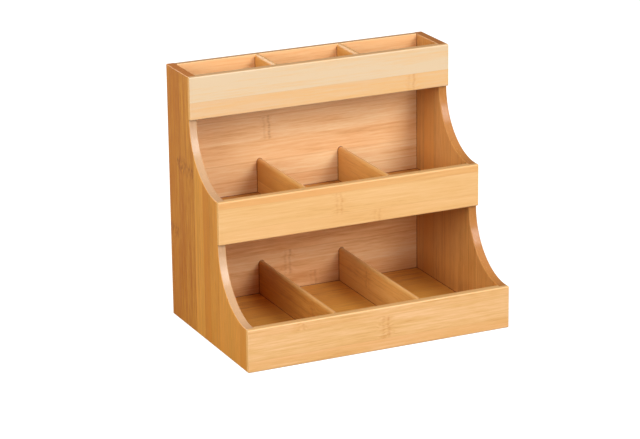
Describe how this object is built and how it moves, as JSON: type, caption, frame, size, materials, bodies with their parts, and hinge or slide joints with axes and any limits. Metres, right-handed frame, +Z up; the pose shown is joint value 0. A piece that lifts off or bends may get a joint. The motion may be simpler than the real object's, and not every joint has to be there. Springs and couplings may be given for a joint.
{
  "type": "coffee station organizer",
  "caption": "Stepped bamboo counter caddy with tiers of open compartments behind front rails and cove-cut side panels.",
  "frame": {"origin": "middle of the footprint, on the surface that the caddy stands on", "axes": "+Z up, +X to the right when facing the caddy's front, -Y out of the front"},
  "size_m": [0.26, 0.175, 0.24],
  "materials": {
    "side_bamboo": "satin lacquered laminated bamboo",
    "back_bamboo": "satin lacquered laminated bamboo",
    "rail_bamboo": "satin lacquered laminated bamboo",
    "floor_bamboo": "satin lacquered laminated bamboo",
    "divider_bamboo": "satin lacquered laminated bamboo"
  },
  "bodies": {
    "root": {"back_panel": "back_bamboo", "divider_bottom_left": "divider_bamboo", "divider_bottom_right": "divider_bamboo", "divider_middle_left": "divider_bamboo", "divider_middle_right": "divider_bamboo", "divider_top_left": "divider_bamboo", "divider_top_right": "divider_bamboo", "floor_bottom": "floor_bamboo", "floor_middle": "floor_bamboo", "floor_top": "floor_bamboo", "front_rail_bottom": "rail_bamboo", "front_rail_middle": "rail_bamboo", "front_rail_top": "rail_bamboo", "side_panel_left": "side_bamboo", "side_panel_right": "side_bamboo"}
  },
  "joints": []
}
